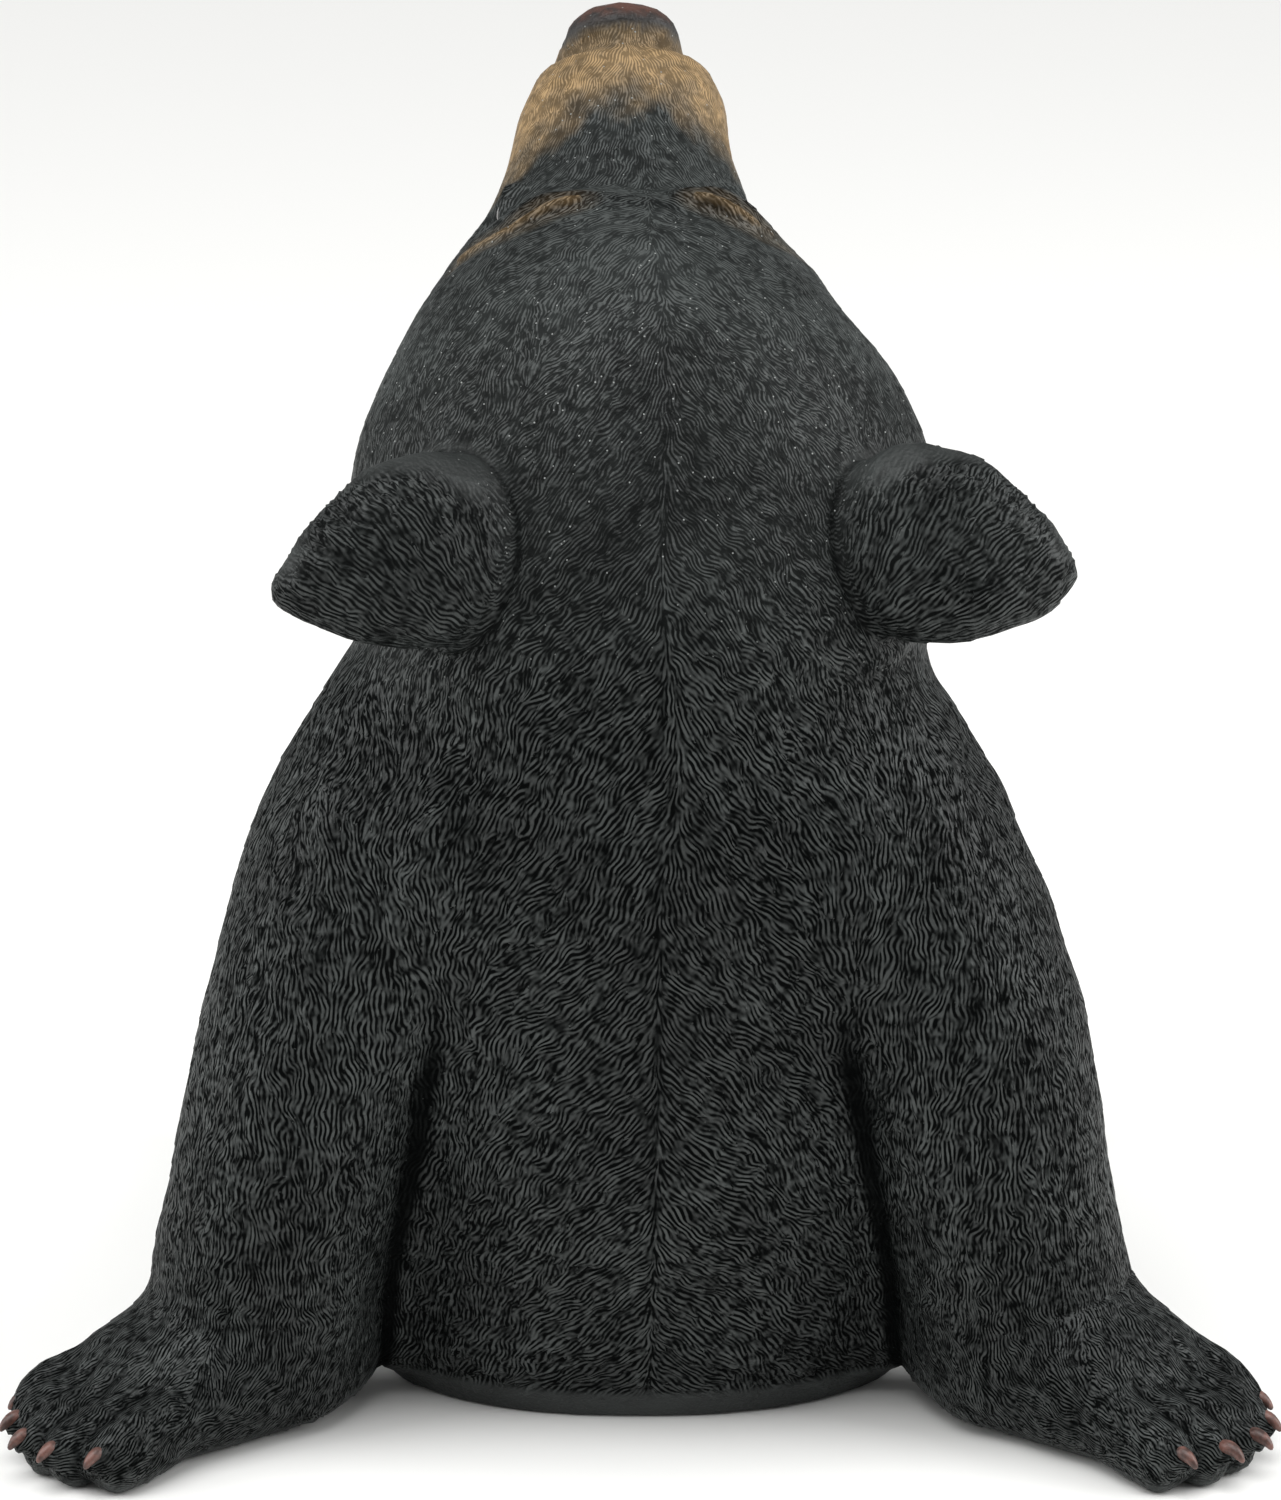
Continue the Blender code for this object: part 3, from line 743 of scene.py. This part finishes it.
def open_eyes(points):
    """Moves that shape the eyes: a sunk opening, and lids round it."""
    moves = np.zeros_like(points)
    lids = np.zeros(len(points))
    for side in (1, -1):
        place = eye_place(side)
        eye = in_frame(points, place)
        disc = np.linalg.norm(eye[:, :2] * (1, 1.25), axis=1)
        reached = smooth_step(10.0, 6.0, disc) * smooth_step(9, 6, np.abs(eye[:, 2]))
        almond = (eye[:, 0] / EYE_OPENING[0]) ** 2 + np.abs(eye[:, 1]) / EYE_OPENING[1]
        sunk = 1.6 * smooth_step(1.15, 0.75, almond)
        lid = 0.5 * bell(almond - 1.35, 0.3)
        upper_lid = 1.4 * bell(side * eye[:, 1] - 4.4, 1.8) * smooth_step(9, 5, np.abs(eye[:, 0]))
        wanted = lid - sunk - 0.02 * disc**2 + upper_lid
        moves += (reached * (wanted - eye[:, 2]))[:, None] * from_frame((0, 0, 1), place)
        lids = np.maximum(lids, reached)
    return moves, lids


def adjust_outline(points, near):
    """Small moves of ears, front paws and arms that bring the outline to the photographed one."""
    moves = np.zeros_like(points)
    for side, name in SIDES:
        drop, upper, lower, reach = EAR_ADJUST[name]
        ear = in_frame(points, ear_place(side))
        share = smooth_step(1.5, 1.15, near[name + "_ear"]) * smooth_step(-26, -6, ear[:, 0])
        tip = share * smooth_step(14, 29, ear[:, 0]) * bell(ear[:, 1], 10)
        down = drop + upper * smooth_step(2, 22, ear[:, 1]) * smooth_step(26, 8, ear[:, 0])
        down += lower * smooth_step(0, -9, ear[:, 1])
        moves += (share * down)[:, None] * from_frame((0, -1, 0), head_place())
        moves += (tip * reach)[:, None] * from_frame((1, -0.1, 0), ear_place(side))
        lift, shorten = PAW_ADJUST[name]
        paw = in_frame(points, paw_place(side))
        share = smooth_step(1.45, 1.15, near[name + "_front_paw"])
        hump = share * smooth_step(0, 20, paw[:, 1]) * smooth_step(58, 34, paw[:, 1])
        hump *= smooth_step(4, 18, paw[:, 2])
        moves += (hump * lift)[:, None] * np.array((0, 0, 1.0))
        shortened = share * smooth_step(38, 62, paw[:, 1]) * shorten
        moves -= shortened[:, None] * from_frame((0, 1, 0), paw_place(side))
        outer = smooth_step(1.5, 1.2, near[name + "_front_leg"]) * smooth_step(60, 95, side * points[:, 0])
        moves[:, 0] += side * ARM_ADJUST[name] * outer * bell(points[:, 2] - 108, 32)
    return moves


def shape_face(points, places):
    """How far the skin rises over the casting's, or sinks under it, at the details of face and creases."""
    head = in_frame(points, head_place())
    above = smooth_step(-14, -6, head[:, 2]) * places["head"]
    aside = np.abs(head[:, 0])
    rise = -1.9 * bell(head[:, 1] + 9.0, 2.8) * above
    rise *= 0.35 + 0.65 * smooth_step(5, 11, aside)
    flange = 0.7 + 1.0 * smooth_step(3, 11, aside)
    flange += 1.1 * smooth_step(4, 13, head[:, 0]) * smooth_step(-11, -24, head[:, 1])
    rise += flange * smooth_step(-10.5, -14.0, head[:, 1]) * smooth_step(-40, -20, head[:, 1]) * above
    temple = np.linalg.norm(head - RIGHT_TEMPLE, axis=1)
    rise += 2.5 * bell(temple, 10) * places["head"]
    brows = 0.9 * places["brow"] - 0.7 * places["brow_shade"]
    rise += brows - 2.2 * places["nostril"] - 1.3 * places["mouth"]
    return rise - 1.5 * places["hollow"]


def carve_fur(piece, settings):
    """Raises the carved strokes on the piece's fine skin."""
    draws = np.random.default_rng(SEED)
    mesh = piece.data
    points, normals = read_mesh(mesh)
    forms = read_forms(points)
    places = read_places(points, normals, forms)
    lay = lay_of_fur(points, normals, forms)
    ahead = points + lay
    later = lay_of_fur(ahead, normals, read_forms(ahead))
    bend = np.clip(dots(later, np.cross(normals, lay)), -0.12, 0.12)
    eyes, lids = open_eyes(points)
    near = {name: out for name, (out, _) in forms.items()}
    bare = highest(places, nose=1, sole=1, under=1, inside_ear=0.9, ear_rim=1)
    bare = np.maximum(bare, lids)
    scale = 1.0 + 0.45 * (1 - places["behind"]) - 0.22 * places["head"] * places["behind"]
    scale *= 1 - 0.22 * places["tan"]
    spacing = settings.stroke_spacing / UNIT * scale
    length = settings.stroke_length / UNIT * scale * (1 - 0.2 * places["head"])
    depth = settings.stroke_depth / UNIT * (1 - bare)
    for name, share in (("head", 0.45), ("tan", 0.4), ("fine", 0.6)):
        depth *= 1 - share * places[name]
    spacing[bare > 0.8] = 0
    height, tone = carve(points, normals, lay, bend, spacing, length, depth, draws)
    swell = 0.35 * drift(points, 26, SEED + 2) * (1 - bare) * (1 - 0.7 * places["head"])
    swell += shape_face(points, places)
    moved = points + normals * (height - STROKE_SUNK * depth + swell)[:, None]
    moved = moved + eyes + adjust_outline(points, near)
    moved[:, 2] = np.maximum(moved[:, 2], 0)
    mesh.vertices.foreach_set("co", (moved * UNIT).astype(np.float32).ravel())
    ridge = np.where(depth > 0.05, height / np.maximum(depth, 0.05), 0.5)
    keep_values(mesh, "POINT", ridge=ridge, tone=tone)
    mesh.update()


def flat_lines(mesh, points, lay):
    """For each face corner, its place in one of three planes, and there the way across the fur.

    A face takes the plane that it lies in most nearly. The third number of the way is how much closer the
    lines stand in the plane than on the slanting face.
    """
    corners = np.empty(len(mesh.loops), np.int32)
    mesh.loops.foreach_get("vertex_index", corners)
    sizes = np.empty(len(mesh.polygons), np.int32)
    mesh.polygons.foreach_get("loop_total", sizes)
    facing = np.empty(3 * len(mesh.polygons), np.float32)
    mesh.polygons.foreach_get("normal", facing)
    facing = np.abs(facing.reshape(-1, 3))
    starts = np.cumsum(sizes) - sizes
    wander = [drift(points[corners[starts]], 6, SEED + 8 + i) for i in range(3)]
    plane = np.argmax(facing + 0.07 * np.stack(wander, axis=1), axis=1)
    slant = np.maximum(facing[np.arange(len(plane)), plane], 0.4)
    plane, slant = np.repeat(plane, sizes), np.repeat(slant, sizes)
    rows = np.arange(len(corners))
    first, second = (plane + 1) % 3, (plane + 2) % 3
    at, way = points[corners], lay[corners]
    run = np.stack([way[rows, first], way[rows, second]], axis=1)
    length = np.maximum(np.linalg.norm(run, axis=1), 0.3)
    across = np.stack([-run[:, 1] / length, run[:, 0] / length, length / slant], axis=1)
    return np.stack([at[rows, first], at[rows, second], np.zeros(len(rows))], axis=1) * UNIT, across


def mark_places(piece):
    """Writes where each paint goes, and which way runs across the fur, on the finished skin."""
    points, normals = read_mesh(piece.data)
    forms = read_forms(points)
    places = read_places(points, normals, forms)
    lay = lay_of_fur(points, normals, forms)
    parting = 0.65 * places["parting"] * (1 - 0.8 * places["head"])
    on_head = places["head"] * (1 - places["ear_back"])
    flat, across = flat_lines(piece.data, points, lay)
    keep_values(piece.data, "CORNER", fur_plane=flat, across_fur=across)
    keep_values(
        piece.data,
        "POINT",
        nose=places["nose"],
        nose_tip=places["nose_tip"],
        tan_fur=highest(places, tan=1, brow=0.5, brow_shade=0.12),
        # Painted shade: darker in the creases between forms and toes, in the nostrils, along the mouth line,
        # round the eyes and along the parting of the fur.
        shade=np.maximum(parting, highest(places, hollow=1, nostril=1, mouth=1, lids=0.25)),
        specks=0.1 + 0.9 * places["head"],
        pale=places["pale"],
        fineness=1 + 0.35 * (on_head + places["muzzle"]) + places["fine"],
        sole=places["sole"],
        bare=highest(places, nose=1, sole=1, under=1, ear_rim=0.8, ear_back=0.1),
    )


def add_node(tree, kind, inputs=(), **settings):
    """Adds a node, sets its properties and its inputs. An input is a value or another node's output."""
    node = tree.nodes.new(kind)
    for key, value in settings.items():
        setattr(node, key, value)
    for key, value in dict(inputs).items():
        if isinstance(value, bpy.types.NodeSocket):
            tree.links.new(value, node.inputs[key])
        else:
            node.inputs[key].default_value = value
    return node


def add_mix(tree, share, first, second):
    """Adds a mix of two colours, each a value or another node's output, and gives its result."""
    mix = add_node(tree, "ShaderNodeMix", {0: share, 6: first, 7: second}, data_type="RGBA")
    return mix.outputs[2]


def add_maths(tree, operation, first, second):
    """Adds a sum on values or other nodes' outputs, and gives its result."""
    return add_node(tree, "ShaderNodeMath", {0: first, 1: second}, operation=operation).outputs[0]


def add_range(tree, value, low, high, first=0.0, last=1.0):
    """Adds a soft step of a value: first at low, last at high."""
    ends = {0: value, 1: low, 2: high, 3: first, 4: last}
    return add_node(tree, "ShaderNodeMapRange", ends, interpolation_type="SMOOTHSTEP").outputs[0]


def add_noise(tree, place, wave, detail=0.0):
    """Adds a noise with waves of this many millimetres, and gives its value."""
    inputs = {"Vector": place, "Scale": 1000 / wave, "Detail": detail}
    return add_node(tree, "ShaderNodeTexNoise", inputs).outputs["Fac"]


def new_paint(name):
    """A new material, its nodes, its surface, and the place on the piece."""
    paint = bpy.data.materials.new(name)
    paint.use_nodes = True
    tree = paint.node_tree
    return paint, tree, tree.nodes["Principled BSDF"], add_node(tree, "ShaderNodeTexCoord").outputs["Object"]


def painted_resin(settings):
    """Resin under matt charcoal paint: black in the grooves, dry-brushed grey on the raised strokes. The
    black is also painted shade in the grooves, and the grey also a painted sheen on the crests.
    """
    paint, tree, surface, place = new_paint("painted_resin_fur")

    def layer(name, output="Fac"):
        return add_node(tree, "ShaderNodeAttribute", attribute_name=name).outputs[output]

    def times(first, second):
        return add_maths(tree, "MULTIPLY", first, second)

    # Fine painted lines that run along the fur, a bit over a millimetre apart: dark gaps of painted groove
    # shade between lighter lines of painted crest sheen.
    wobble = add_node(tree, "ShaderNodeTexNoise", {"Vector": place, "Scale": 1000 / 4.5, "Detail": 0.0})
    sway = {0: wobble.outputs["Color"], "Scale": LINE_SWAY / 1000}
    shift = add_node(tree, "ShaderNodeVectorMath", sway, operation="SCALE")
    flat = layer("fur_plane", "Vector")
    waved = add_node(tree, "ShaderNodeVectorMath", {0: flat, 1: shift.outputs[0]}).outputs[0]
    lines = {"Vector": waved, "Scale": 1000 / LINE_LENGTH, "Anisotropy": 0.93}
    across = add_node(tree, "ShaderNodeSeparateXYZ", {0: layer("across_fur", "Vector")}).outputs
    closer = times(layer("fineness"), across["Z"])
    lines["Frequency"] = times(closer, LINE_LENGTH / LINE_SPACING)
    lines["Orientation"] = add_maths(tree, "ARCTAN2", across["Y"], across["X"])
    hairs = add_node(tree, "ShaderNodeTexGabor", lines, gabor_type="2D").outputs["Value"]
    breaks = add_noise(tree, place, 2.2, 1.0)
    hairs = add_maths(tree, "ADD", hairs, times(breaks, 0.45))
    specks = layer("specks")
    # Crests lighter and grooves darker, on the painted lines and on the carved strokes: dry-brushing, with
    # painted sheen and painted shade.
    crest = add_range(tree, hairs, 0.58, 0.95)
    crest = times(crest, add_range(tree, layer("ridge"), 0.1, 0.8, 0.25, 1.0))
    crest = add_maths(tree, "MAXIMUM", crest, times(specks, 0.22))
    crest = add_node(tree, "ShaderNodeMix", {0: layer("bare"), 2: crest, 3: 0.75}).outputs[0]
    # Painted shade darkens the strokes in the creases, the nostrils, the mouth line, round the eyes and along
    # the parting.
    crest = times(crest, add_range(tree, layer("shade"), 0.15, 0.9, 1.0, 0.08))
    tone = add_range(tree, layer("tone"), 0.0, 1.0, 0.7, 1.25)
    patches = add_range(tree, add_noise(tree, place, 30.0, 2.0), 0.3, 0.7, 0.7, 1.2)
    brushed = times(crest, times(tone, patches))
    # Painted light: strokes paler on the front of the head, which faces the light from above, and darker on
    # the crown and the body.
    brushed = times(brushed, add_range(tree, layer("pale"), 0.0, 1.0, 0.78, 1.5))
    fur = add_mix(tree, brushed, settings.groove_colour, settings.fur_colour)
    # The tan is brushed on thinly: it catches the raised strokes and leaves the grooves dark.
    mottle = add_noise(tree, place, 5.0, 3.0)
    streaks = add_range(tree, crest, 0.05, 0.9, 0.35, 1.0)
    streaks = times(streaks, add_range(tree, mottle, 0.35, 0.62, 0.68, 0.97))
    tan_share = times(layer("tan_fur"), streaks)
    fur = add_mix(tree, tan_share, fur, settings.tan_colour)
    # The nose: dark satin paint with a fine leathery grain, and in front a painted highlight in reddish
    # brown.
    nose = layer("nose")
    reddish = times(add_range(tree, mottle, 0.36, 0.6), layer("nose_tip"))
    leather = add_mix(tree, reddish, settings.nose_colour, settings.nose_highlight_colour)
    fur = add_mix(tree, nose, fur, leather)
    fur = add_mix(tree, layer("sole"), fur, settings.nose_colour)
    # Small pale grey specks, on the head above all.
    cells = {"Vector": place, "Scale": 1000 / 2.6}
    points = add_node(tree, "ShaderNodeTexVoronoi", cells).outputs["Distance"]
    speck = times(add_range(tree, points, 0.10, 0.06), specks)
    fur = add_mix(tree, speck, fur, linear("#8f9290"))
    tree.links.new(fur, surface.inputs["Base Color"])
    # The grooves lie in their own shade and keep no shine. The socket also keeps a value of its own, for
    # where the link is not read. The export drops the link and takes the value.
    surface.inputs["Specular IOR Level"].default_value = 0.2
    shine = add_range(tree, crest, 0.0, 1.0, 0.01, 0.34)
    shine = add_maths(tree, "MAXIMUM", shine, times(nose, 0.14))
    tree.links.new(shine, surface.inputs["Specular IOR Level"])
    tree.links.new(add_range(tree, nose, 0.0, 1.0, 0.5, 0.44), surface.inputs["Roughness"])
    grain = add_noise(tree, place, 1.1, 1.0)
    bump = add_node(tree, "ShaderNodeBump", {"Height": grain, "Strength": 0.8, "Distance": 0.0005})
    tree.links.new(bump.outputs["Normal"], surface.inputs["Normal"])
    return paint


def claw_horn(settings):
    """Claws in satin paint like horn: brownish pink, darker in patches."""
    paint, tree, surface, place = new_paint("painted_claw_horn")
    worn = add_noise(tree, place, 2.5, 3.0)
    horn = add_mix(tree, add_range(tree, worn, 0.35, 0.7), linear("#3a2823"), settings.claw_colour)
    tree.links.new(horn, surface.inputs["Base Color"])
    surface.inputs["Roughness"].default_value = 0.38
    bump = add_node(tree, "ShaderNodeBump", {"Height": worn, "Strength": 0.3, "Distance": 0.0003})
    tree.links.new(bump.outputs["Normal"], surface.inputs["Normal"])
    return paint


def eye_lacquer():
    """Eyes in gloss lacquer: very dark brown with a clear shine."""
    paint, tree, surface, place = new_paint("gloss_eye_lacquer")
    brown = add_mix(tree, add_noise(tree, place, 3.0, 2.0), linear("#0d0908"), linear("#24150d"))
    tree.links.new(brown, surface.inputs["Base Color"])
    surface.inputs["Roughness"].default_value = 0.12
    surface.inputs["Coat Weight"].default_value = 0.5
    return paint


class CUB_OT_casting(bpy.types.Operator):
    """Make the casting: its skin, the strokes carved in it, and its paint."""

    bl_idname = "cub.casting"
    bl_label = "Casting"

    def execute(self, context):
        settings = context.scene.cub
        piece = copy_of_casting("bear_cub_casting")
        grain = settings.skin_grain * 1
        finish_with(piece, "even_skin", "REMESH", mode="VOXEL", voxel_size=2 * grain)
        finish_with(piece, "facets_worn_off", "SMOOTH", factor=0.5, iterations=14)
        finish_with(piece, "fine_skin", "REMESH", mode="VOXEL", voxel_size=grain)
        finish_with(piece, "grain_worn_off", "SMOOTH", factor=0.5, iterations=3)
        carve_fur(piece, settings)
        triangles = sum(len(face.vertices) - 2 for face in piece.data.polygons)
        finish_with(piece, "fewer_faces", "DECIMATE", ratio=settings.triangles / triangles)
        mark_places(piece)
        select_only(piece)
        bpy.ops.object.shade_smooth()
        piece.data.materials.append(painted_resin(settings))
        for part in (*make_claws(settings), *make_eyes()):
            part.select_set(True)
        piece.select_set(True)
        context.view_layer.objects.active = piece
        bpy.ops.object.join()
        if sum(len(face.vertices) - 2 for face in piece.data.polygons) > TRIANGLE_LIMIT:
            raise RuntimeError("the casting has too many triangles")
        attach(piece, "root")
        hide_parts(CASTING)
        return {"FINISHED"}


# The camera stands behind the cub, a little above it, and looks a bit below its middle.
CAMERA_ELEVATION = 16.0
CAMERA_DISTANCE = 1.5
CAMERA_AIM = 0.154
PHOTO_HEIGHT = 1500
METRES_PER_PIXEL = 0.0002435
SENSOR = 36.0
# A soft box on each side: azimuth, elevation, distance, size and watts. Azimuth 180 is behind the cub.
SOFT_LIGHTS = {"left_box": (97, 25, 1.5, 1.3, 14), "right_box": (263, 28, 1.5, 1.3, 20)}
TOP_LIGHT = 2.0
TOP_LIGHT_ANGLE = 50
AIR_LIGHT = 0.32
FLOOR_RADIUS = 8


def soft_light(name, azimuth, elevation, distance, size, watts):
    """A square soft box that faces the figure from this direction."""
    turn, rise = math.radians(azimuth), math.radians(elevation)
    away = Vector((math.sin(turn) * math.cos(rise), -math.cos(turn) * math.cos(rise), math.sin(rise)))
    light = bpy.data.lights.new(name, "AREA")
    light.energy = watts
    light.shape = "SQUARE"
    light.size = size
    lamp = add_object(name, light)
    lamp.location = away * distance + Vector((0, 0, CAMERA_AIM))
    lamp.rotation_euler = away.to_track_quat("Z", "Y").to_euler()


class CUB_OT_studio(bpy.types.Operator):
    """Make the studio: a pale floor, soft lights and the camera behind the cub."""

    bl_idname = "cub.studio"
    bl_label = "Studio"

    def execute(self, context):
        bpy.ops.object.select_all(action="DESELECT")
        bpy.ops.mesh.primitive_circle_add(vertices=96, radius=FLOOR_RADIUS, fill_type="NGON")
        floor = context.active_object
        floor.name = "studio_floor"
        paper = bpy.data.materials.new("matt_studio_paper")
        paper.use_nodes = True
        sheet = paper.node_tree.nodes["Principled BSDF"]
        sheet.inputs["Base Color"].default_value = linear("#f2f2f0")
        sheet.inputs["Roughness"].default_value = 0.9
        floor.data.materials.append(paper)
        world = bpy.data.worlds.new("studio_air")
        world.use_nodes = True
        air = world.node_tree.nodes["Background"]
        air.inputs["Color"].default_value = (1, 1, 1, 1)
        air.inputs["Strength"].default_value = AIR_LIGHT
        context.scene.world = world
        sky = bpy.data.lights.new("broad_top_light", "SUN")
        sky.energy = TOP_LIGHT
        sky.angle = math.radians(TOP_LIGHT_ANGLE)
        lamp = add_object("broad_top_light", sky)
        lamp.rotation_euler = (math.radians(-14), math.radians(8), 0)
        for name, box in SOFT_LIGHTS.items():
            soft_light(name, *box)
        camera = add_object("photo_camera", bpy.data.cameras.new("photo_camera"))
        rise = math.radians(CAMERA_ELEVATION)
        away = Vector((0, math.cos(rise), math.sin(rise)))
        camera.location = Vector((0, 0, CAMERA_AIM)) + away * CAMERA_DISTANCE
        camera.rotation_euler = away.to_track_quat("Z", "Y").to_euler()
        camera.data.sensor_width = SENSOR
        camera.data.lens = SENSOR * CAMERA_DISTANCE / (PHOTO_HEIGHT * METRES_PER_PIXEL)
        camera.data.clip_start = 0.1
        context.scene.camera = camera
        context.scene.view_settings.view_transform = "Standard"
        return {"FINISHED"}


class CUB_PT_panel(bpy.types.Panel):
    """The cub's sizes and colours, and a button for each of its operators."""

    bl_label = "Bear cub statue"
    bl_idname = "CUB_PT_panel"
    bl_space_type = "VIEW_3D"
    bl_region_type = "UI"
    bl_category = "Cub"

    def draw(self, context):
        for name in CubSettings.__annotations__:
            self.layout.prop(context.scene.cub, name)
        for operator in (CUB_OT_casting, CUB_OT_studio):
            self.layout.operator(operator.bl_idname)


CLASSES = (CubSettings, CUB_OT_casting, CUB_OT_studio, CUB_PT_panel)


def register():
    for made in CLASSES:
        bpy.utils.register_class(made)
    bpy.types.Scene.cub = bpy.props.PointerProperty(type=CubSettings)


def unregister():
    del bpy.types.Scene.cub
    for made in reversed(CLASSES):
        bpy.utils.unregister_class(made)


def main():
    register()
    bpy.ops.cub.casting()
    bpy.ops.cub.studio()


if __name__ == "__main__":
    main()
